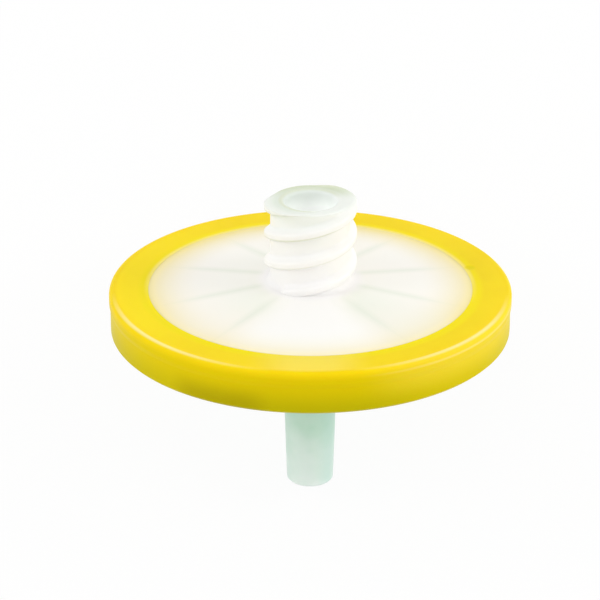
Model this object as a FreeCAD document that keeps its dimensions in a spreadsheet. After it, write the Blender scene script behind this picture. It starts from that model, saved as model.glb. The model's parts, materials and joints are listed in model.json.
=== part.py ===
"""A 33 mm syringe filter: two welded polypropylene housings, a membrane and an overmoulded ring.

Each piece is modelled upright about the filter's own axis, in millimetres: radius along X, height
along Z, with zero at the parting plane where the two housings meet. The inlet is up, the outlet
down. The four finished bodies then share one placement, which lays the filter down as it rests on
a bench, leaning on the far side of its ring and on the tip of its outlet.
"""

import FreeCAD
import Part
import Sketcher
import os

from FreeCAD import Placement, Rotation, Vector

os.makedirs("parts", exist_ok=True)
doc = FreeCAD.newDocument("SyringeFilter")

# ---------------------------------------------------------------------------------------------
# Driving dimensions, in millimetres
# ---------------------------------------------------------------------------------------------

SIZES = [
    # sealing ring
    ("lip_diameter", 33.7, "widest part of the ring, its upper lip"),
    ("lip_depth", 1.1, "height of the lip, from the ring's top face"),
    ("lip_overhang", 0.1, "how far the lip stands out over the wall below it"),
    ("lip_bevel", 0.2, "bevel between the top face and the lip"),
    ("foot_bevel", 0.25, "bevels at the ring's foot and the nozzle's tip, which meet the bench"),
    ("ring_wall", 1.25, "wall outside the housings' flanges"),
    ("ring_cover", 0.6, "thickness over the inlet flange"),
    ("ring_floor", 0.87, "thickness under the outlet flange"),
    ("cover_reach", 1.95, "how far the ring reaches in over the inlet flange"),
    ("floor_reach", 1.4, "how far the ring reaches in under the outlet flange"),
    # both housings
    ("inlet_flange", 1.0, "thickness of the inlet housing's flange"),
    ("outlet_flange", 1.2, "thickness of the outlet housing's flange"),
    ("plate_step", 0.4, "how far each plate stands proud of its flange, inside the ring's window"),
    ("plate_rise", 0.95, "rise of the conical inlet plate, from its edge to its middle"),
    ("plate_wall", 1.0, "thickness of the inlet plate"),
    # inlet hub
    ("inlet_reach", 9.43, "parting plane to the mouth of the socket"),
    ("hub_diameter", 6.7, "hub at the root of its thread"),
    ("hub_round", 0.5, "fillet between the hub and the plate"),
    ("socket_mouth", 4.3, "conical socket at its mouth"),
    ("socket_floor", 0.52, "thickness between the socket's floor and the chamber"),
    ("mouth_bevel", 0.15, "bevel round the socket's mouth"),
    ("cone_slope", 0.03, "change in radius for each millimetre along a 6 % conical fitting"),
    ("inlet_hole", 2.6, "passage from the socket into the chamber"),
    # lock thread
    ("thread_diameter", 7.73, "over the crests of the lock thread"),
    ("thread_lead", 5.0, "advance in one turn"),
    ("thread_starts", 2, "number of starts"),
    ("thread_root", 1.35, "width of a ridge at the hub"),
    ("thread_crest", 0.45, "width of a ridge at its crest"),
    ("thread_under", 0.3, "height taken by a ridge's steep lower flank"),
    ("thread_start_turn", 46.6, "degrees from +X to where the first ridge starts"),
    ("thread_sink", 0.05, "how far below the crown of the plate a ridge's middle starts"),
    # flow ribs under the inlet plate
    ("rib_count", 10, "radial ribs"),
    ("rib_width", 0.5, "width of a rib"),
    ("rib_gap", 0.1, "space between the ribs and the membrane"),
    ("rib_start", 2.0, "distance of a rib's inner end from the axis"),
    ("rib_play", 0.6, "space between a rib's outer end and the chamber's wall"),
    # membrane
    ("membrane_thickness", 0.2, "membrane"),
    ("membrane_play", 0.05, "space round the membrane in its seat"),
    ("membrane_grip", 1.2, "width of the membrane's edge between the two housings"),
    ("seat_rim", 1.15, "flange outside the membrane's seat"),
    # outlet housing
    ("groove_count", 4, "circular drain grooves under the membrane"),
    ("groove_width", 1.2, "width of a circular groove"),
    ("groove_depth", 0.4, "depth of the drain grooves"),
    ("drain_count", 8, "radial drains that cross the grooves"),
    ("drain_width", 0.6, "width of a radial drain"),
    ("outlet_reach", 16.39, "parting plane to the tip of the nozzle"),
    ("tip_diameter", 3.96, "nozzle at its tip"),
    ("nozzle_length", 10.0, "conical length of the nozzle"),
    ("outlet_bore", 2.2, "bore of the nozzle"),
    ("boss_shoulder", 5.3, "boss where the nozzle leaves it"),
    ("boss_foot", 7.4, "boss where it meets the plate"),
    ("boss_flare", 0.8, "width and height of the bevel between the boss and the plate"),
]

sizes = doc.addObject("Spreadsheet::Sheet", "sizes")
for row, (alias, value, meaning) in enumerate(SIZES, start=1):
    sizes.set(f"A{row}", meaning)
    sizes.set(f"B{row}", str(value))
    sizes.setAlias(f"B{row}", alias)
doc.recompute()


def size(formula):
    """A formula on the sheet's names, such as "lip_diameter / 2", as the sheet's own expression."""
    words = {alias for alias, _, _ in SIZES}
    text, word = "", ""
    for letter in formula + " ":
        if letter.isalnum() or letter == "_":
            word += letter
            continue
        text += f"sizes.{word}" if word in words else word
        text += letter
        word = ""
    return text.strip()


# Radii and heights that several pieces share.
LIP_R = "lip_diameter / 2"
WALL_R = "(lip_diameter / 2 - lip_overhang)"
FLANGE_R = "(lip_diameter / 2 - lip_overhang - ring_wall)"
WINDOW_R = f"({FLANGE_R} - cover_reach)"
LOWER_WINDOW_R = f"({FLANGE_R} - floor_reach)"
SEAT_R = f"({FLANGE_R} - seat_rim)"
MEMBRANE_R = f"({SEAT_R} - membrane_play)"
CHAMBER_R = f"({MEMBRANE_R} - membrane_grip)"
HUB_R = "hub_diameter / 2"
TIP_R = "tip_diameter / 2"

RING_TOP = "(inlet_flange + ring_cover)"
RING_BOTTOM = "(-outlet_flange - ring_floor)"
PLATE_EDGE = "(inlet_flange + plate_step)"
PLATE_CROWN = "(inlet_flange + plate_step + plate_rise)"
SOCKET_FLOOR = f"({PLATE_CROWN} - plate_wall + socket_floor)"
LOWER_PLATE = "(-outlet_flange - plate_step)"
NOZZLE_ROOT = "(nozzle_length - outlet_reach)"


# ---------------------------------------------------------------------------------------------
# Helpers on PartDesign bodies and sketches
# ---------------------------------------------------------------------------------------------


def new_body(name):
    body = doc.addObject("PartDesign::Body", name)
    body.Label = name
    return body


def origin_part(body, role):
    """The body's own origin plane or axis of this role, such as XZ_Plane."""
    return next(f for f in body.Origin.OriginFeatures if f.Role == role)


def new_sketch(body, name, plane, raised=None, turned=None):
    """A sketch on one of the body's origin planes, raised off it or turned about the body's Z."""
    sketch = body.newObject("Sketcher::SketchObject", name)
    sketch.AttachmentSupport = (origin_part(body, plane), [""])
    sketch.MapMode = "FlatFace"
    if raised:
        sketch.setExpression("AttachmentOffset.Base.z", size(raised))
    if turned:
        sketch.AttachmentOffset = Placement(Vector(), Rotation(Vector(0, 1, 0), 1))
        sketch.setExpression("AttachmentOffset.Rotation.Angle", size(turned))
    return sketch


def pin_point(sketch, line, along, up):
    """Hold a line's first point at two distances from the sketch's origin."""
    for kind, formula in (("DistanceX", along), ("DistanceY", up)):
        value = float(sketch.evalExpression(size(formula)))
        index = sketch.addConstraint(Sketcher.Constraint(kind, -1, 1, line, 1, value))
        sketch.setExpression(f"Constraints[{index}]", size(formula))


def outline(sketch, corners):
    """A closed outline through corners that are pairs of formulas: along the sketch, and up it."""
    at = [Vector(*(float(sketch.evalExpression(size(f))) for f in corner), 0) for corner in corners]
    lines = [
        sketch.addGeometry(Part.LineSegment(start, end), False)
        for start, end in zip(at, at[1:] + at[:1])
    ]
    for line, after in zip(lines, lines[1:] + lines[:1]):
        sketch.addConstraint(Sketcher.Constraint("Coincident", line, 2, after, 1))
    for line, (along, up) in zip(lines, corners):
        pin_point(sketch, line, along, up)


def rectangle(sketch, left, right, low, high):
    outline(sketch, [(left, low), (right, low), (right, high), (left, high)])


def turned(body, kind, name, sketch):
    """A Revolution or a Groove: the sketch turned once about its own upright axis."""
    feature = body.newObject(f"PartDesign::{kind}", name)
    feature.Profile = sketch
    feature.ReferenceAxis = (sketch, ["V_Axis"])
    feature.Angle = 360
    sketch.Visibility = False
    doc.recompute()
    return feature


def raised(body, kind, name, sketch, length, reverse=False):
    """A Pad or a Pocket of the sketch."""
    feature = body.newObject(f"PartDesign::{kind}", name)
    feature.Profile = sketch
    feature.setExpression("Length", size(length))
    feature.Reversed = reverse
    doc.recompute()
    return feature


def round_about(body, name, feature, count):
    """Copies of a feature, evenly round the body's Z axis."""
    pattern = body.newObject("PartDesign::PolarPattern", name)
    pattern.Originals = [feature]
    pattern.Axis = (origin_part(body, "Z_Axis"), [""])
    pattern.Angle = 360
    pattern.setExpression("Occurrences", size(count))
    body.Tip = pattern
    doc.recompute()
    return pattern


def rim_edges(feature, radius, height):
    """Names of the feature's circular edges about the Z axis at this radius and height."""
    radius = float(feature.evalExpression(size(radius)))
    height = float(feature.evalExpression(size(height)))
    found = []
    for index, edge in enumerate(feature.Shape.Edges, start=1):
        curve = edge.Curve
        if not isinstance(curve, Part.Circle):
            continue
        centre = curve.Center
        if Vector(centre.x, centre.y, 0).Length > 1e-6:
            continue
        if abs(curve.Radius - radius) < 1e-6 and abs(centre.z - height) < 1e-6:
            found.append(f"Edge{index}")
    if not found:
        raise ValueError(f"{feature.Name} has no edge of radius {radius} at height {height}")
    return found


def eased(body, kind, name, base, radius, height, amount):
    """A Fillet or a Chamfer of the circular edge at this radius and height."""
    feature = body.newObject(f"PartDesign::{kind}", name)
    feature.Base = (base, rim_edges(base, radius, height))
    feature.setExpression("Radius" if kind == "Fillet" else "Size", size(amount))
    doc.recompute()
    return feature


# ---------------------------------------------------------------------------------------------
# Inlet housing: conical plate, flange, and the hub with its socket and lock thread
# ---------------------------------------------------------------------------------------------


def inlet_housing():
    body = new_body("inlet_housing")

    section = new_sketch(body, "InletSection", "XZ_Plane")
    outline(
        section,
        [
            ("inlet_hole / 2", f"{PLATE_CROWN} - plate_wall"),
            (CHAMBER_R, f"{PLATE_EDGE} - plate_wall"),
            (CHAMBER_R, "0"),
            (FLANGE_R, "0"),
            (FLANGE_R, "inlet_flange"),
            (WINDOW_R, "inlet_flange"),
            (WINDOW_R, PLATE_EDGE),
            (HUB_R, PLATE_CROWN),
            (HUB_R, "inlet_reach"),
            ("socket_mouth / 2", "inlet_reach"),
            (f"socket_mouth / 2 - cone_slope * (inlet_reach - {SOCKET_FLOOR})", SOCKET_FLOOR),
            ("inlet_hole / 2", SOCKET_FLOOR),
        ],
    )
    shell = turned(body, "Revolution", "InletShell", section)
    shell = eased(body, "Fillet", "HubFillet", shell, HUB_R, PLATE_CROWN, "hub_round")
    shell = eased(
        body, "Chamfer", "MouthBevel", shell, "socket_mouth / 2", "inlet_reach", "mouth_bevel"
    )

    lock_thread(body)
    flow_ribs(body)
    return body


def lock_thread(body):
    """Ridges that wind up the hub, right-handed, and are cut off flush with its mouth."""
    start = f"({PLATE_CROWN} - thread_sink)"
    inside = f"({HUB_R} - thread_crest)"
    crest = "thread_diameter / 2"
    foot = f"({start} - thread_root / 2)"
    ridge = new_sketch(body, "ThreadRidge", "XZ_Plane", turned="thread_start_turn")
    outline(
        ridge,
        [
            (inside, foot),
            (HUB_R, foot),
            (crest, f"{foot} + thread_under"),
            (crest, f"{foot} + thread_under + thread_crest"),
            (HUB_R, f"{foot} + thread_root"),
            (inside, f"{foot} + thread_root"),
        ],
    )
    helix = body.newObject("PartDesign::AdditiveHelix", "LockThread")
    helix.Profile = ridge
    helix.ReferenceAxis = (ridge, ["V_Axis"])
    helix.Mode = "pitch-height-angle"
    helix.setExpression("Pitch", size("thread_lead"))
    helix.setExpression("Height", size(f"inlet_reach - {foot}"))
    ridge.Visibility = False
    doc.recompute()
    round_about(body, "LockThreadStarts", helix, "thread_starts")

    top = new_sketch(body, "MouthPlane", "XY_Plane", raised="inlet_reach")
    circle = top.addGeometry(Part.Circle(Vector(), Vector(0, 0, 1), 1), False)
    top.addConstraint(Sketcher.Constraint("Coincident", circle, 3, -1, 1))
    index = top.addConstraint(Sketcher.Constraint("Radius", circle, 1))
    top.setExpression(f"Constraints[{index}]", size("thread_diameter"))
    raised(body, "Pocket", "MouthTrim", top, "2 * thread_root", reverse=True)


def flow_ribs(body):
    """Radial ribs under the plate, which hold the membrane down when the flow reverses."""
    rib = new_sketch(body, "RibPlan", "XY_Plane", raised="rib_gap")
    rectangle(
        rib,
        "-rib_width / 2",
        "rib_width / 2",
        f"rib_play - {CHAMBER_R}",
        "-rib_start",
    )
    up_to = f"{PLATE_EDGE} - rib_gap"
    pad = raised(body, "Pad", "FlowRib", rib, up_to)
    round_about(body, "FlowRibs", pad, "rib_count")


# ---------------------------------------------------------------------------------------------
# Membrane: a plain disc, clamped at its edge between the two housings
# ---------------------------------------------------------------------------------------------


def membrane():
    body = new_body("membrane")
    section = new_sketch(body, "MembraneSection", "XZ_Plane")
    rectangle(section, "0", MEMBRANE_R, "-membrane_thickness", "0")
    turned(body, "Revolution", "MembraneDisc", section)
    return body


# ---------------------------------------------------------------------------------------------
# Outlet housing: membrane seat with its drains, flange, boss and nozzle
# ---------------------------------------------------------------------------------------------


def outlet_housing():
    body = new_body("outlet_housing")

    section = new_sketch(body, "OutletSection", "XZ_Plane")
    outline(
        section,
        [
            ("outlet_bore / 2", "-outlet_reach"),
            (f"{TIP_R} - foot_bevel", "-outlet_reach"),
            (TIP_R, "foot_bevel - outlet_reach"),
            (f"{TIP_R} + cone_slope * (nozzle_length - foot_bevel)", NOZZLE_ROOT),
            ("boss_shoulder / 2", NOZZLE_ROOT),
            ("boss_foot / 2", f"{LOWER_PLATE} - boss_flare"),
            ("boss_foot / 2 + boss_flare", LOWER_PLATE),
            (LOWER_WINDOW_R, LOWER_PLATE),
            (LOWER_WINDOW_R, "-outlet_flange"),
            (FLANGE_R, "-outlet_flange"),
            (FLANGE_R, "0"),
            (SEAT_R, "0"),
            (SEAT_R, "-membrane_thickness"),
            ("outlet_bore / 2", "-membrane_thickness"),
        ],
    )
    turned(body, "Revolution", "OutletShell", section)

    # Circular grooves, evenly spaced between the bore and the clamped edge.
    rings = new_sketch(body, "GrooveSection", "XZ_Plane")
    spacing = f"(({CHAMBER_R} - outlet_bore) / groove_count)"
    bed = "-membrane_thickness"
    for number in range(int(sizes.groove_count)):
        middle = f"outlet_bore + ({number} + 0.5) * {spacing}"
        rectangle(
            rings,
            f"{middle} - groove_width / 2",
            f"{middle} + groove_width / 2",
            f"{bed} - groove_depth",
            bed,
        )
    turned(body, "Groove", "DrainGrooves", rings)

    drain = new_sketch(body, "DrainPlan", "XY_Plane", raised=bed)
    rectangle(
        drain,
        "-drain_width / 2",
        "drain_width / 2",
        f"groove_width / 2 + {spacing} / 2 - {CHAMBER_R}",
        "0",
    )
    pocket = raised(body, "Pocket", "Drain", drain, "groove_depth")
    round_about(body, "Drains", pocket, "drain_count")
    return body


# ---------------------------------------------------------------------------------------------
# Sealing ring: moulded round both flanges, which it locks together
# ---------------------------------------------------------------------------------------------


def sealing_ring():
    body = new_body("sealing_ring")
    section = new_sketch(body, "RingSection", "XZ_Plane")
    lip_foot = f"({RING_TOP} - lip_depth)"
    outline(
        section,
        [
            (WINDOW_R, "inlet_flange"),
            (FLANGE_R, "inlet_flange"),
            (FLANGE_R, "-outlet_flange"),
            (LOWER_WINDOW_R, "-outlet_flange"),
            (LOWER_WINDOW_R, RING_BOTTOM),
            (WALL_R, RING_BOTTOM),
            (WALL_R, lip_foot),
            (LIP_R, lip_foot),
            (LIP_R, RING_TOP),
            (WINDOW_R, RING_TOP),
        ],
    )
    ring = turned(body, "Revolution", "RingShell", section)
    ring = eased(body, "Chamfer", "LipBevel", ring, LIP_R, RING_TOP, "lip_bevel")
    eased(body, "Chamfer", "FootBevel", ring, WALL_R, RING_BOTTOM, "foot_bevel")
    return body


# ---------------------------------------------------------------------------------------------
# The resting pose, shared by all four bodies
# ---------------------------------------------------------------------------------------------


def lay_down(bodies):
    """Lean the filter back until the foot of its ring and its tip both meet the bench.

    Both have the same bevel, so the bench is parallel to the line from one corner to the other.
    It meets the upper or the lower corner of each bevel, whichever stands out further.
    """
    lean = f"atan((outlet_reach + {RING_BOTTOM}) / ({WALL_R} - {TIP_R}))"
    height = (
        f"outlet_reach * cos({lean}) + {TIP_R} * sin({lean})"
        f" - foot_bevel * min(cos({lean}); sin({lean}))"
    )
    for body in bodies:
        body.Placement = Placement(Vector(), Rotation(Vector(-1, 0, 0), 1))
        body.setExpression("Placement.Rotation.Angle", size(lean))
        body.setExpression("Placement.Base.z", size(height))


bodies = [inlet_housing(), membrane(), outlet_housing(), sealing_ring()]
lay_down(bodies)
doc.recompute()

for item in doc.Objects:
    if {"Invalid", "Error"} & set(item.State):
        raise RuntimeError(f"{item.Name} did not recompute: {item.State}")
for body in bodies:
    shape = body.Shape
    if shape.isNull() or not shape.isValid() or len(shape.Solids) != 1:
        raise RuntimeError(f"{body.Label} is not one valid solid")
    shape.exportStep(f"parts/{body.Label}.step")
    box = shape.optimalBoundingBox(False)
    print(
        f"{body.Label}: {shape.Volume:.2f} mm3, X {box.XMin:.2f} to {box.XMax:.2f},"
        f" Y {box.YMin:.2f} to {box.YMax:.2f}, Z {box.ZMin:.2f} to {box.ZMax:.2f}"
    )
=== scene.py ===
import json
import math

import bmesh
import bpy
from mathutils import Matrix, Vector


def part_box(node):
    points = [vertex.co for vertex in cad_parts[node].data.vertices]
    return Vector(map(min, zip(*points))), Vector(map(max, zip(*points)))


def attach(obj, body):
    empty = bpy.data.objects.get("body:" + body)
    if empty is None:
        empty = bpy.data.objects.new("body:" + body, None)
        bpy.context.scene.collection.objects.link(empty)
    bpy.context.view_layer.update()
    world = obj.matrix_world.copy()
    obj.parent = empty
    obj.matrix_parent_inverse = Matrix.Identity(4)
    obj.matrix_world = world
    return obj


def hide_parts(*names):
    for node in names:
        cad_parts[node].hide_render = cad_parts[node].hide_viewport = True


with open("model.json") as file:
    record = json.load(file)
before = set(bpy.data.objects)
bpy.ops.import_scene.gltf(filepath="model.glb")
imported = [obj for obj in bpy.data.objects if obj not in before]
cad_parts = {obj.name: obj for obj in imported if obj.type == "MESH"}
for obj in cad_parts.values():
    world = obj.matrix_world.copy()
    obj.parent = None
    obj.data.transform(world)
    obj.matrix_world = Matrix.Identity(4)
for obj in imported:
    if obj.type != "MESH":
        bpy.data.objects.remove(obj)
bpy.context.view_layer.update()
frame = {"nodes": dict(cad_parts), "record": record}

# ---------------------------------------------------------------------------------------------
# How the filter lies
# The filter leans on the foot of its ring and on the tip of its outlet. Every piece is modelled
# upright in millimetres, with zero where the two housings meet, and `lay` then lays it down.
# ---------------------------------------------------------------------------------------------

MM = 0.001
inlet_reach = 9.43

mounts = {mount["name"]: mount for mount in frame["record"]["mounts"]}
mouth = Vector(mounts["inlet_mouth_face"]["pos_m"])
tip = Vector(mounts["outlet_tip_face"]["pos_m"])
axis = (mouth - tip).normalized()
outlet_reach = (mouth - tip).length / MM - inlet_reach
middle = mouth - axis * inlet_reach * MM
turn = Vector((0, 0, 1)).rotation_difference(axis)
lay = Matrix.LocRotScale(middle, turn, Vector((MM, MM, MM)))

# ---------------------------------------------------------------------------------------------
# Sealing ring
# Yellow polypropylene, moulded in place round the flanges of both housings, which it locks
# together. Its lip stands out a little where the two halves of the mould met.
# ---------------------------------------------------------------------------------------------

lip_overhang = 0.1
lip_depth = 1.1
cover_reach = 1.95
floor_reach = 1.4
ring_cover = 0.6
ring_floor = 0.87
inlet_flange = 1.0
outlet_flange = 1.2
foot_bevel = 0.25
lip_round = 0.36
window_round = 0.02
corner_round = 0.06

low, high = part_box("sealing_ring")
lip_radius = (high.x - low.x) / 2 / MM
wall_radius = lip_radius - lip_overhang
low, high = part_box("inlet_housing")
flange_radius = (high.x - low.x) / 2 / MM
window_radius = flange_radius - cover_reach
lower_window_radius = flange_radius - floor_reach
ring_top = inlet_flange + ring_cover
ring_foot = -outlet_flange - ring_floor
lip_foot = ring_top - lip_depth
taper_foot = lip_foot - 0.3
taper_head = lip_foot + 0.1
flash_height = ring_top - 0.52
gate_radius = window_radius + 0.55
gate_turn = math.radians(16.5)
gate_spread = 0.35
RING_STEPS = 256


def outline(corners):
    """A closed outline of (radius, height, rounding) in millimetres, with its corners rounded."""
    bm = bmesh.new()
    points = [bm.verts.new((radius, 0, height)) for radius, height, _ in corners]
    for start, end in zip(points, points[1:] + points[:1]):
        bm.edges.new((start, end))
    for point, (_, _, rounding) in zip(points, corners):
        if rounding:
            bmesh.ops.bevel(
                bm,
                geom=[point],
                offset=rounding,
                offset_type="OFFSET",
                affect="VERTICES",
                segments=6,
                profile=0.5,
                material=-1,
            )
    return bm


def spun(bm, steps):
    """Turns an outline once about the filter's axis into a closed shell."""
    bmesh.ops.spin(
        bm,
        geom=bm.verts[:] + bm.edges[:],
        cent=(0, 0, 0),
        axis=(0, 0, 1),
        dvec=(0, 0, 0),
        angle=2 * math.pi,
        steps=steps,
        use_merge=True,
    )
    bmesh.ops.remove_doubles(bm, verts=bm.verts, dist=1e-5)
    bmesh.ops.recalc_face_normals(bm, faces=bm.faces)
    return bm


def laid(bm, name, material):
    """Lays a finished shell down beside the others and makes it a piece of this material."""
    bmesh.ops.transform(bm, matrix=lay, verts=bm.verts)
    mesh = bpy.data.meshes.new(name)
    bm.to_mesh(mesh)
    bm.free()
    mesh.shade_smooth()
    mesh.materials.append(material)
    piece = bpy.data.objects.new(name, mesh)
    bpy.context.scene.collection.objects.link(piece)
    weighted = piece.modifiers.new("even_shading", "WEIGHTED_NORMAL")
    weighted.weight = 100
    weighted.keep_sharp = True
    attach(piece, "root")
    return piece


class Shade:
    """One output of a shader node, so that shader maths reads as Python expressions."""

    def __init__(self, tree, socket=None):
        self.tree = tree
        self.socket = socket

    def node(self, kind, settings, sockets, output=0):
        """A node of this kind: its settings come first, then the values or links of its sockets."""
        node = self.tree.nodes.new(kind)
        for name, value in settings.items():
            setattr(node, name, value)
        for name, value in sockets.items():
            if isinstance(value, Shade):
                self.tree.links.new(value.socket, node.inputs[name])
            else:
                node.inputs[name].default_value = value
        return Shade(self.tree, node.outputs[output] if node.outputs else None)

    def maths(self, operation, first, second=0.0):
        """One sum of numbers or outputs."""
        return self.node("ShaderNodeMath", {"operation": operation}, {0: first, 1: second})

    def __add__(self, other):
        return self.maths("ADD", self, other)

    def __sub__(self, other):
        return self.maths("SUBTRACT", self, other)

    def __rsub__(self, other):
        return self.maths("SUBTRACT", other, self)

    def __mul__(self, other):
        return self.maths("MULTIPLY", self, other)

    def __truediv__(self, other):
        return self.maths("DIVIDE", self, other)

    def __pow__(self, other):
        return self.maths("POWER", self, other)

    def __abs__(self):
        return self.maths("ABSOLUTE", self)

    __radd__ = __add__
    __rmul__ = __mul__

    def rise(self, start, end):
        """Goes smoothly from 0 where this is start to 1 where it is end."""
        sockets = {"Value": self, "From Min": start, "From Max": end}
        return self.node("ShaderNodeMapRange", {"interpolation_type": "SMOOTHSTEP"}, sockets)

    def between(self, at_zero, at_one):
        """The colour at_zero where this is 0, and at_one where it is 1."""
        colours = {"Factor": self, 6: at_zero, 7: at_one}
        return self.node("ShaderNodeMix", {"data_type": "RGBA"}, colours, output=2)

    def noise(self, size, detail=2.0):
        """Cloudy noise from 0 to 1, with spots about this many millimetres across."""
        sockets = {"Vector": self, "Scale": 1 / size, "Detail": detail}
        return self.node("ShaderNodeTexNoise", {}, sockets)

    def facing(self, turn):
        """1 where this turn about the axis is that one, falling to -1 on the far side."""
        return self.maths("COSINE", self - turn)

    def relief(self, strength, depth):
        """The normal of a surface that this value raises, by millimetres where it is 1."""
        sockets = {"Strength": strength, "Distance": depth * MM, "Height": self}
        return self.node("ShaderNodeBump", {}, sockets)


def finish(name):
    """A new material, its tree, and the place on the upright filter in millimetres."""
    material = bpy.data.materials.new(name)
    material.use_nodes = True
    material.node_tree.nodes.clear()
    tree = Shade(material.node_tree)
    whole = tree.node("ShaderNodeTexCoord", {}, {}, output="Object")
    settings = {"vector_type": "TEXTURE"}
    upright = {"Vector": whole, "Location": middle, "Rotation": turn.to_euler(), "Scale": (MM,) * 3}
    return material, tree, tree.node("ShaderNodeMapping", settings, upright)


def split(place):
    """Distance from the filter's axis, turn about it, and height, from a place on the filter."""
    along, across, height = (
        place.node("ShaderNodeSeparateXYZ", {}, {0: place}, output=name) for name in "XYZ"
    )
    radius = (along * along + across * across) ** 0.5
    return radius, place.maths("ARCTAN2", across, along), height


YELLOW = (0.91, 0.67, 0.004, 1)
WARM_YELLOW = (0.89, 0.645, 0.004, 1)
PAINTED_LIGHT_YELLOW = (0.98, 0.75, 0.004, 1)
PAINTED_SHEEN_YELLOW = (0.925, 0.715, 0.078, 1)
THIN_YELLOW = (0.91, 0.71, 0.0, 1)
GATE_YELLOW = (0.81, 0.64, 0.0, 1)
BACK_GLOW_YELLOW = (0.93, 0.745, 0.22, 1)
HIGHLIGHT_YELLOW = (1.0, 0.86, 0.42, 1)
PAINTED_PALE_YELLOW = (0.93, 0.70, 0.06, 1)
SHADED_WALL_YELLOW = (0.75, 0.575, 0.0, 1)
FOOT_SHADE_YELLOW = (0.48, 0.425, 0.0, 1)
LOW_LEFT_DARK_YELLOW = (0.25, 0.20, 0.0, 1)
PAINTED_WINDOW_GLOW = (0.05, 0.05, 0.0, 1)
NO_GLOW = (0, 0, 0, 1)

ring_plastic, tree, place = finish("ring_plastic")
radius, angle, height = split(place)
cloud = place.noise(4.0)
grain = place.noise(0.12, detail=3.0)
rightward = tree.maths("COSINE", angle)
rearward = tree.maths("SINE", angle)

# The top: painted light on the left, and pale where it thins out at the window.
colour = cloud.rise(0.35, 0.65).between(YELLOW, WARM_YELLOW)
lit = rightward.rise(-0.4, -1.0) * radius.rise(lip_radius - 0.4, lip_radius - 0.8)
colour = (lit * 0.6).between(colour, PAINTED_LIGHT_YELLOW)
colour = radius.rise(window_radius + 1.1, window_radius + 0.5).between(colour, THIN_YELLOW)
# A painted glow at the window's edge: a paler colour behind, and a faint emission all round.
window_glow_mask = radius.rise(window_radius + 0.5, window_radius)
colour = (window_glow_mask * rearward.rise(-0.3, 0.4)).between(colour, BACK_GLOW_YELLOW)
# A painted sheen in front: the reflection of the hub in the top, painted into the colour.
painted_sheen = abs(rightward * radius).rise(5.5, 1.0) * rearward.rise(-0.5, -0.9)
painted_sheen = painted_sheen * radius.rise(lip_radius - 0.3, lip_radius - 0.7)
colour = painted_sheen.between(colour, PAINTED_SHEEN_YELLOW)

# The mark of the gate, a darker round dent in the top, close to the window.
gate = ((angle - gate_turn) * gate_radius) ** 2.0 + (radius - gate_radius) ** 2.0
gate = gate.rise(gate_spread, 0.0) * height.rise(ring_top - 0.3, ring_top - 0.1)
colour = gate.between(colour, GATE_YELLOW)

# The wall: painted shade, darker than the top and darkest at its foot and in front, with a darker
# place low on the front-left and painted light on the right.
colour = height.rise(ring_top - 0.02, ring_top - 0.9).between(colour, SHADED_WALL_YELLOW)
sideways = abs(rightward).rise(0.15, 0.75)
shade = 1 - sideways * 0.3 - rightward.rise(0.3, 0.8) * 0.2
shade = height.rise(lip_foot + 0.3, ring_foot - 0.3) * shade
colour = shade.between(colour, FOOT_SHADE_YELLOW)
# Darker low on the front-left of the wall.
low_left_darkening = angle.facing(-2.03).rise(0.958, 0.995)
low_left_darkening = low_left_darkening * height.rise(lip_foot - 0.1, ring_foot + 0.6)
colour = (low_left_darkening * 0.35).between(colour, LOW_LEFT_DARK_YELLOW)
# Painted light: a paler patch on the right-front wall, where the light falls.
painted_right_light = angle.facing(-0.7).rise(0.8, 1.0) * radius.rise(lip_radius - 0.5, lip_radius - 0.2)
painted_right_light = painted_right_light * height.rise(ring_foot + 0.2, lip_foot + 0.2)
colour = (painted_right_light * 0.4).between(colour, PAINTED_PALE_YELLOW)

# A painted highlight along the rounded edge in front, and one on the mould's flash line on the
# wall.
edge = abs(radius - (lip_radius - lip_round)).rise(0.26, 0.06)
edge = edge * height.rise(ring_top - 0.3, ring_top - 0.1) * rearward.rise(-0.05, -0.55)
colour = (edge * sideways * 0.68).between(colour, HIGHLIGHT_YELLOW)
# The flash line is raised by the bump below; its pale colour on the right is a painted highlight.
flash = abs(height - flash_height).rise(0.16, 0.03)
colour = (flash * rightward.rise(0.2, 0.8) * 0.28).between(colour, HIGHLIGHT_YELLOW)
raised = grain + flash * 0.8 - gate * 2.0
shader = tree.node(
    "ShaderNodeBsdfPrincipled",
    {},
    {
        "Base Color": colour,
        "Roughness": 0.34 + 0.08 * cloud,
        "Specular IOR Level": 0.04,
        "Subsurface Weight": 0.25,
        "Subsurface Radius": (1.0, 0.7, 0.1),
        "Subsurface Scale": 1.2 * MM,
        "Emission Color": window_glow_mask.between(NO_GLOW, PAINTED_WINDOW_GLOW),
        "Emission Strength": 1.0,
        "Normal": raised.relief(0.35, 0.03),
    },
)
tree.node("ShaderNodeOutputMaterial", {}, {"Surface": shader})

ring = spun(
    outline(
        [
            (window_radius, inlet_flange, 0),
            (flange_radius, inlet_flange, 0),
            (flange_radius, -outlet_flange, 0),
            (lower_window_radius, -outlet_flange, 0),
            (lower_window_radius, ring_foot, 0.08),
            (wall_radius - foot_bevel, ring_foot, corner_round),
            (wall_radius, ring_foot + foot_bevel, corner_round),
            (wall_radius, taper_foot, corner_round),
            (lip_radius, taper_head, corner_round),
            (lip_radius, ring_top, lip_round),
            (window_radius, ring_top, window_round),
        ]
    ),
    RING_STEPS,
)
ring = laid(ring, "moulded_ring", ring_plastic)
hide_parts("sealing_ring")

# ---------------------------------------------------------------------------------------------
# Membrane
# A white microporous disc, clamped at its edge between the housings, dull and faintly uneven.
# It is hidden under the inlet plate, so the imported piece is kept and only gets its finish.
# ---------------------------------------------------------------------------------------------

MEMBRANE_WHITE = (0.90, 0.90, 0.88, 1)
MEMBRANE_SHADE = (0.84, 0.84, 0.82, 1)

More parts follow.
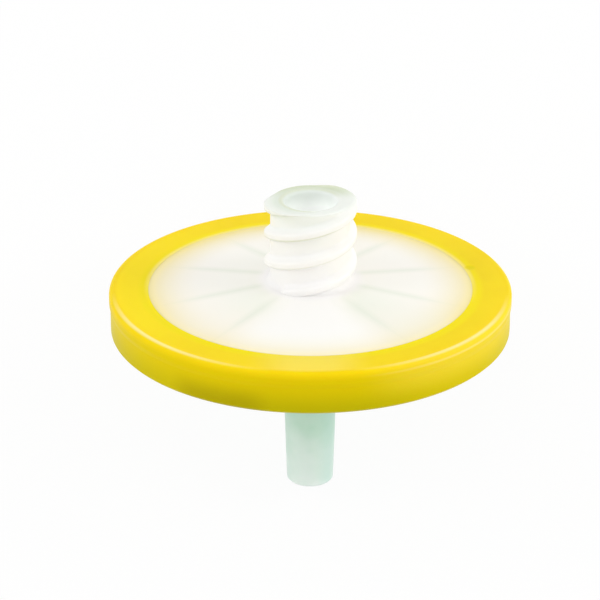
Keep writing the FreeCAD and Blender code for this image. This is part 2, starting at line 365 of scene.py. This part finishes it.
membrane_sheet, tree, place = finish("membrane_sheet")
pores = place.noise(0.2, detail=4.0)
shader = tree.node(
    "ShaderNodeBsdfPrincipled",
    {},
    {
        "Base Color": pores.between(MEMBRANE_WHITE, MEMBRANE_SHADE),
        "Roughness": 0.9,
        "Normal": pores.relief(0.3, 0.02),
    },
)
tree.node("ShaderNodeOutputMaterial", {}, {"Surface": shader})
membrane = frame["nodes"]["membrane"]
membrane.data.materials.clear()
membrane.data.materials.append(membrane_sheet)

# ---------------------------------------------------------------------------------------------
# Inlet housing
# Natural polypropylene, milky and a little green where it is thick, moulded in one piece: a
# conical plate, and a hub with a conical socket and a lock thread. The ten flow ribs under the
# plate show through it as faint lines.
# ---------------------------------------------------------------------------------------------

plate_step = 0.4
plate_rise = 0.95
plate_wall = 1.0
plate_edge = inlet_flange + plate_step
plate_crown = plate_edge + plate_rise
plate_rim = ring_top - 0.01
chamber_radius = flange_radius - 2.4
hub_radius = 3.35
hub_round = 0.5
mouth_radius = 2.15
mouth_round = 0.12
socket_round = 0.3
socket_floor = plate_crown - plate_wall + 0.52
cone_slope = 0.03
inlet_hole_radius = 1.3
rib_count = 10
glow_start = 9.0
glow_reach = 4.8
HUB_CUTS = 90
HOUSING_STEPS = 192

thread_lead = 5.0
thread_height = 0.515
thread_windings = 3
thread_start = math.radians(46.6)
thread_start_height = plate_crown - 0.05
thread_run_in = math.radians(7)
ridge_half = 0.675
under_flank = 0.36
upper_flank = 0.66
line_drop = 0.42
mouth_swell = 0.29
swell_start = 6.0
swell_reach = 1.1


def ridge(offset, swell):
    """Height of a ridge at this distance above its middle: a steep flank under, a slope over.

    The swell widens it downwards, as it is next to the mouth.
    """
    rising = min(max((offset + ridge_half + swell) / (under_flank + swell / 2), 0), 1)
    falling = min(max((ridge_half - offset) / upper_flank, 0), 1)
    rising, falling = (step * step * (3 - 2 * step) for step in (rising, falling))
    return thread_height * rising * falling


def thread(angle, height):
    """How far the lock thread stands out of the hub at this turn about the axis and height."""
    out = 0.0
    for start in (thread_start, thread_start + math.pi):
        first = (angle - start) % (2 * math.pi)
        for winding in range(thread_windings):
            wound = first + winding * 2 * math.pi
            advance = wound / (2 * math.pi) * thread_lead
            grown = min(wound / thread_run_in, 1)
            swell = mouth_swell * min(max((advance - swell_start) / swell_reach, 0), 1)
            out = max(out, grown * ridge(height - thread_start_height - advance, swell))
    return out


MILK = (0.985, 0.968, 0.968, 1)
MILK_GREEN = (0.895, 0.915, 0.89, 1)
SHADED_MILK = (0.90, 0.878, 0.852, 1)
MOUTH_SHADE_GREEN = (0.70, 0.755, 0.665, 1)
MOUTH_LIT_MILK = (0.80, 0.825, 0.775, 1)
RIM_SHADE_GREEN = (0.59, 0.65, 0.47, 1)
PAINTED_SHADE_GREEN = (0.66, 0.70, 0.54, 1)
SOCKET_LIT_GREEN = (0.765, 0.80, 0.77, 1)
SOCKET_SHADE = (0.675, 0.72, 0.67, 1)
PAINTED_SOCKET_GLOW = (0.275, 0.26, 0.27, 1)
PLATE_LIGHT_WHITE = (0.965, 0.935, 0.895, 1)
PLATE_CREAM = (0.91, 0.875, 0.785, 1)
PLATE_GREEN = (0.865, 0.875, 0.79, 1)
RIB_AND_SHADE_GREEN = (0.74, 0.78, 0.67, 1)
RING_GLOW_YELLOW = (0.87, 0.715, 0.25, 1)
PAINTED_PLATE_GLOW = (0.05, 0.04, 0.0, 1)

housing_plastic, tree, place = finish("housing_plastic")
radius, angle, height = split(place)
cloud = place.noise(2.5)
grain = place.noise(0.2, detail=3.0)
rightward = tree.maths("COSINE", angle)
rearward = tree.maths("SINE", angle)

# The plate: greener towards the hub, with painted light in front and on two sides, painted shade
# at the right front, and a faint line over each rib.
rib_turn = 2 * math.pi / rib_count
share = angle * (1 / rib_turn) + (rib_count / 4 + rib_count)
aside = abs(tree.maths("FRACT", share + 0.5) - 0.5) * radius * rib_turn
across = abs(rightward) * radius
painted_front_light = across.rise(4.3, 2.0) * rearward.rise(-0.3, -0.7) * 0.8
painted_front_light = tree.maths("MAXIMUM", rearward.rise(-0.8, -0.97), painted_front_light)
line = aside.rise(0.8, 0.1) * radius.rise(12.5, 8.5) * 0.4 + aside.rise(0.2, 0.05) * 0.15
line = line * (1 - painted_front_light)
green = radius.rise(10.5, 6.0) * (1 - angle.facing(0.9).rise(0.2, 1.0) * 0.8)
plate = green.between(PLATE_CREAM, PLATE_GREEN)
# Painted light on the left behind and on the right, near the hub.
clear = angle.facing(2.75).rise(0.3, 1.0) + angle.facing(0.2).rise(0.5, 0.95)
clear = clear * radius.rise(12.0, 9.0) * 0.45
plate = tree.maths("MAXIMUM", painted_front_light, clear).between(plate, PLATE_LIGHT_WHITE)
# Painted shade at the right front.
right_front_shade = angle.facing(-0.95).rise(0.7, 1.0) * (1 - painted_front_light)
plate = (right_front_shade * 0.2).between(plate, RIB_AND_SHADE_GREEN)
plate = line.between(plate, RIB_AND_SHADE_GREEN)

# A painted glow: the ring's yellow shines into the plate's edge, most of all behind.
painted_ring_glow = tree.maths("MAXIMUM", (radius - glow_start) / glow_reach, 0.0) ** 2.4
painted_ring_glow = painted_ring_glow * (1 - rearward.rise(-0.3, -0.7) * 0.38)
painted_ring_glow = painted_ring_glow * (1 + rearward.rise(0.0, 0.9) * 0.4)
plate = painted_ring_glow.between(plate, RING_GLOW_YELLOW)

# The hub: milky, with painted shade along the crests and on its right side, and a painted shade
# line under each ridge.
hub = height.rise(plate_crown + 1.0, inlet_reach - 1.0).between(MILK, MILK_GREEN)
right_side_shade = angle.facing(-0.2).rise(0.2, 0.95)
crest_shade = radius.rise(hub_radius, hub_radius + 0.45) * 0.5
hub = tree.maths("MAXIMUM", right_side_shade * 0.8, crest_shade).between(hub, SHADED_MILK)
# Here `level` is the height above the middle of the nearest ridge.
wound = (angle - thread_start) * (thread_lead / (2 * math.pi))
level = (height - thread_start_height - wound) * (2 / thread_lead) + 10.5
level = (tree.maths("FRACT", level) - 0.5) * (thread_lead / 2)
drop = height.rise(inlet_reach - 1.55, inlet_reach - 0.75) * mouth_swell + line_drop
# A painted shade line under each ridge.
under = abs(level + drop).rise(0.22, 0.06)
under = under * radius.rise(hub_radius - 0.05, hub_radius + 0.1)
under = under * height.rise(plate_crown, inlet_reach)
hub = (under * 0.9).between(hub, PAINTED_SHADE_GREEN)

# The mouth: greener where it is thick, with painted shade on the side turned away, painted light
# on its front-left, and a painted shade line round the socket.
mouth = angle.facing(-0.7).rise(-0.2, 0.9).between(MOUTH_SHADE_GREEN, MOUTH_LIT_MILK)
# A painted shade line along the socket's edge.
lined = abs(radius - (mouth_radius + 0.32)).rise(0.32, 0.05)
lined = lined * angle.facing(-0.52).rise(0.8, 0.35)
mouth = (lined * 0.75).between(mouth, PAINTED_SHADE_GREEN)
# Painted light on the rim's front-left.
lobe = radius.rise(2.8, 3.5) * angle.facing(-2.5).rise(0.1, 0.8)
mouth = (lobe * 0.75).between(mouth, MOUTH_LIT_MILK)
hub = (height.rise(inlet_reach - 1.4, inlet_reach - 0.4) * 0.5).between(hub, mouth)
hub = height.rise(inlet_reach - 0.3, inlet_reach - 0.05).between(hub, mouth)
# Painted shade along the rim's back edge.
rim_shade = radius.rise(hub_radius - 1.0, hub_radius - 0.3)
rim_shade = rim_shade * height.rise(inlet_reach - 0.25, inlet_reach - 0.05) * rearward.rise(0.1, 0.9)
hub = rim_shade.between(hub, RIM_SHADE_GREEN)

# The socket: a painted glow from inside, painted shade on its left and painted light on its right.
inside = radius.rise(mouth_radius + 0.25, mouth_radius)
socket = rightward.rise(-0.9, 0.9).between(SOCKET_SHADE, SOCKET_LIT_GREEN)
socket_light = angle.facing(0.1).rise(0.8, 1.0) * height.rise(inlet_reach - 1.6, inlet_reach - 0.4)
socket = (socket_light * 0.6).between(socket, MILK_GREEN)
hub = inside.between(hub, socket)
colour = radius.rise(hub_radius + 0.3, hub_radius + 1.5).between(hub, plate)
deep = inside * height.rise(inlet_reach - 0.1, inlet_reach - 1.7)
painted_glow = deep.between(NO_GLOW, PAINTED_SOCKET_GLOW)
# A painted glow at the plate's edge, next to the window.
painted_glow = radius.rise(window_radius - 1.0, window_radius - 0.1).between(painted_glow, PAINTED_PLATE_GLOW)
shader = tree.node(
    "ShaderNodeBsdfPrincipled",
    {},
    {
        "Base Color": colour,
        "Roughness": 0.25 + 0.12 * cloud,
        "Specular IOR Level": 0.4,
        "Subsurface Weight": 0.6,
        "Subsurface Radius": (1.0, 1.0, 1.0),
        "Subsurface Scale": 0.8 * MM,
        "Emission Color": painted_glow,
        "Emission Strength": 1.0,
        "Normal": grain.relief(0.25, 0.02),
    },
)
tree.node("ShaderNodeOutputMaterial", {}, {"Surface": shader})

inlet = outline(
    [
        (inlet_hole_radius, plate_crown - plate_wall, 0),
        (chamber_radius, plate_edge - plate_wall, 0),
        (chamber_radius, 0, 0),
        (flange_radius, 0, 0),
        (flange_radius, inlet_flange, 0),
        (window_radius, inlet_flange, 0),
        (window_radius, plate_rim, 0),
        (hub_radius, plate_crown, hub_round),
        (hub_radius, inlet_reach, mouth_round),
        (mouth_radius, inlet_reach, socket_round),
        (mouth_radius - cone_slope * (inlet_reach - socket_floor), socket_floor, 0),
        (inlet_hole_radius, socket_floor, 0),
    ]
)
# The hub's wall gets a fine mesh, whose points the lock thread then pushes out.
on_hub = [
    edge
    for edge in inlet.edges
    if all(abs(vert.co.x - hub_radius) < 1e-3 for vert in edge.verts)
]
bmesh.ops.subdivide_edges(inlet, edges=on_hub, cuts=HUB_CUTS)
spun(inlet, HOUSING_STEPS)
for vert in inlet.verts:
    out = math.hypot(vert.co.x, vert.co.y)
    if hub_radius - 0.2 < out < hub_radius + 0.6 and vert.co.z > plate_crown - 0.1:
        ridged = min(out, hub_radius) + thread(math.atan2(vert.co.y, vert.co.x), vert.co.z)
        stretch = max(ridged / out, 1)
        vert.co.x *= stretch
        vert.co.y *= stretch
inlet = laid(inlet, "threaded_inlet", housing_plastic)
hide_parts("inlet_housing")

# ---------------------------------------------------------------------------------------------
# Outlet housing
# The same natural polypropylene, moulded in one piece: the membrane's seat, a flat plate with a
# boss in the middle, and a conical nozzle without a collar. Painted shade makes the nozzle greener
# and darker towards its root, under the disc.
# ---------------------------------------------------------------------------------------------

seat_radius = flange_radius - 1.15
membrane_thickness = 0.2
outlet_bore = 1.1
tip_radius = 1.98
nozzle_length = 10.0
nozzle_root = nozzle_length - outlet_reach
boss_shoulder = 2.65
boss_foot = 3.7
boss_flare = 0.8
boss_round = 0.4
tip_round = 0.08
root_round = 0.12
lower_plate = -outlet_flange - plate_step

NOZZLE_MILK = (0.775, 0.845, 0.81, 1)
NOZZLE_SHADE_GREEN = (0.41, 0.655, 0.495, 1)
NOZZLE_EDGE_SHADE = (0.40, 0.62, 0.56, 1)

outlet_plastic, tree, place = finish("outlet_plastic")
radius, angle, height = split(place)
cloud = place.noise(2.5)
grain = place.noise(0.2, detail=3.0)
# Painted shade towards the root, under the disc, with a cloudy tone.
root_shade_and_tone = height.rise(-outlet_reach, nozzle_root) * 0.8 + cloud.rise(0.3, 0.7) * 0.2
colour = root_shade_and_tone.between(NOZZLE_MILK, NOZZLE_SHADE_GREEN)
# Painted shade along the nozzle's left and right sides.
aside = abs(tree.maths("COSINE", angle) + 0.2).rise(0.4, 1.1)
aside = aside * radius.rise(boss_shoulder + 0.5, boss_shoulder)
colour = (aside * 0.42).between(colour, NOZZLE_EDGE_SHADE)
# A painted glow of the ring's yellow at the outer edge.
colour = (radius.rise(9.8, 13.9) ** 1.4 * 0.9).between(colour, RING_GLOW_YELLOW)
shader = tree.node(
    "ShaderNodeBsdfPrincipled",
    {},
    {
        "Base Color": colour,
        "Roughness": 0.28 + 0.12 * cloud,
        "Specular IOR Level": 0.2,
        "Subsurface Weight": 0.6,
        "Subsurface Radius": (1.0, 1.0, 1.0),
        "Subsurface Scale": 1.2 * MM,
        "Normal": grain.relief(0.25, 0.02),
    },
)
tree.node("ShaderNodeOutputMaterial", {}, {"Surface": shader})

outlet = spun(
    outline(
        [
            (outlet_bore, -outlet_reach, tip_round),
            (tip_radius - foot_bevel, -outlet_reach, tip_round),
            (tip_radius, foot_bevel - outlet_reach, tip_round),
            (tip_radius + cone_slope * (nozzle_length - foot_bevel), nozzle_root, 0),
            (boss_shoulder, nozzle_root, root_round),
            (boss_foot, lower_plate - boss_flare, boss_round),
            (boss_foot + boss_flare, lower_plate, boss_round),
            (lower_window_radius, lower_plate, 0.05),
            (lower_window_radius, -outlet_flange, 0),
            (flange_radius, -outlet_flange, 0),
            (flange_radius, 0, 0),
            (seat_radius, 0, 0),
            (seat_radius, -membrane_thickness, 0),
            (outlet_bore, -membrane_thickness, 0),
        ]
    ),
    HOUSING_STEPS,
)
outlet = laid(outlet, "outlet_nozzle", outlet_plastic)
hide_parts("outlet_housing")

# ---------------------------------------------------------------------------------------------
# Bench
# A plain pale sheet under the filter. It shows white, and keeps a soft trace of the shadow.
# ---------------------------------------------------------------------------------------------

BENCH_SIZE = 2.0
BENCH_WHITE = (0.9, 0.9, 0.9, 1)
SHOWN_WHITE = 0.93


def seen_directly(tree):
    """1 for rays that come from the camera, a reflection or a pane, and 0 for the rest."""
    rays = [
        tree.node("ShaderNodeLightPath", {}, {}, output=name)
        for name in ("Is Camera Ray", "Is Glossy Ray", "Is Transmission Ray")
    ]
    return tree.maths("MINIMUM", rays[0] + rays[1] + rays[2], 1.0)


bench_paper, tree, _ = finish("bench_paper")
paper = tree.node("ShaderNodeBsdfDiffuse", {}, {"Color": BENCH_WHITE})
white = tree.node("ShaderNodeEmission", {}, {"Color": (1, 1, 1, 1), "Strength": 1.0})
shown = seen_directly(tree) * SHOWN_WHITE
shader = tree.node("ShaderNodeMixShader", {}, {0: shown, 1: paper, 2: white})
tree.node("ShaderNodeOutputMaterial", {}, {"Surface": shader})

bm = bmesh.new()
bmesh.ops.create_grid(bm, x_segments=1, y_segments=1, size=BENCH_SIZE)
mesh = bpy.data.meshes.new("bench")
bm.to_mesh(mesh)
bm.free()
mesh.materials.append(bench_paper)
bench = bpy.data.objects.new("bench", mesh)
bpy.context.scene.collection.objects.link(bench)

# ---------------------------------------------------------------------------------------------
# Light
# A pale room and two large soft lamps over the inlet side, one at each end of the ring, so that
# the top faces are brightest. The ring's wall is darkest at the front by the painted shade in its
# colour.
# ---------------------------------------------------------------------------------------------

ROOM_LIGHT = 0.88

scene = bpy.context.scene
world = bpy.data.worlds.new("pale_room")
world.use_nodes = True
world.node_tree.nodes.clear()
tree = Shade(world.node_tree)
strength = seen_directly(tree) * (1 - ROOM_LIGHT) + ROOM_LIGHT
background = tree.node("ShaderNodeBackground", {}, {"Color": (1, 1, 1, 1), "Strength": strength})
tree.node("ShaderNodeOutputWorld", {}, {"Surface": background})
scene.world = world


def lamp(name, place, size, power):
    """A square soft lamp, placed in millimetres on the upright filter and aimed at its middle."""
    light = bpy.data.lights.new(name, "AREA")
    light.size = size * MM
    light.energy = power
    lit = bpy.data.objects.new(name, light)
    lit.visible_camera = False
    lit.location = lay @ Vector(place)
    facing = middle - lit.location
    lit.rotation_euler = facing.to_track_quat("-Z", "Y").to_euler()
    scene.collection.objects.link(lit)


lamp("lamp_left", (-330, -120, 170), size=160, power=0.26)
lamp("lamp_right", (350, -75, 150), size=160, power=0.42)

# ---------------------------------------------------------------------------------------------
# Camera
# It looks along the filter's ring at a low angle, with the filter's own axis upright in view.
# ---------------------------------------------------------------------------------------------

view_height = ring_top
view_distance = 260.88
view_lens = 186.99
view_elevation = math.radians(24.1)
view_roll = math.radians(0.145)

camera = bpy.data.cameras.new("camera")
camera.sensor_width = 36
camera.lens = view_lens
camera.shift_x = -0.01735
camera.shift_y = -0.02253
camera.clip_start = 0.01
camera.clip_end = 10
viewer = bpy.data.objects.new("camera", camera)
scene.collection.objects.link(viewer)
back = Vector((0, -math.cos(view_elevation), math.sin(view_elevation)))
right = Vector((1, 0, 0))
up = back.cross(right)
right, up = (
    right * math.cos(view_roll) + up * math.sin(view_roll),
    up * math.cos(view_roll) - right * math.sin(view_roll),
)
stand = Matrix((right, up, back)).transposed().to_4x4()
stand.translation = Vector((0, 0, view_height)) + back * view_distance
placed = lay @ stand
viewer.matrix_world = Matrix.LocRotScale(placed.translation, placed.to_quaternion(), None)
scene.camera = viewer
scene.view_settings.view_transform = "Standard"
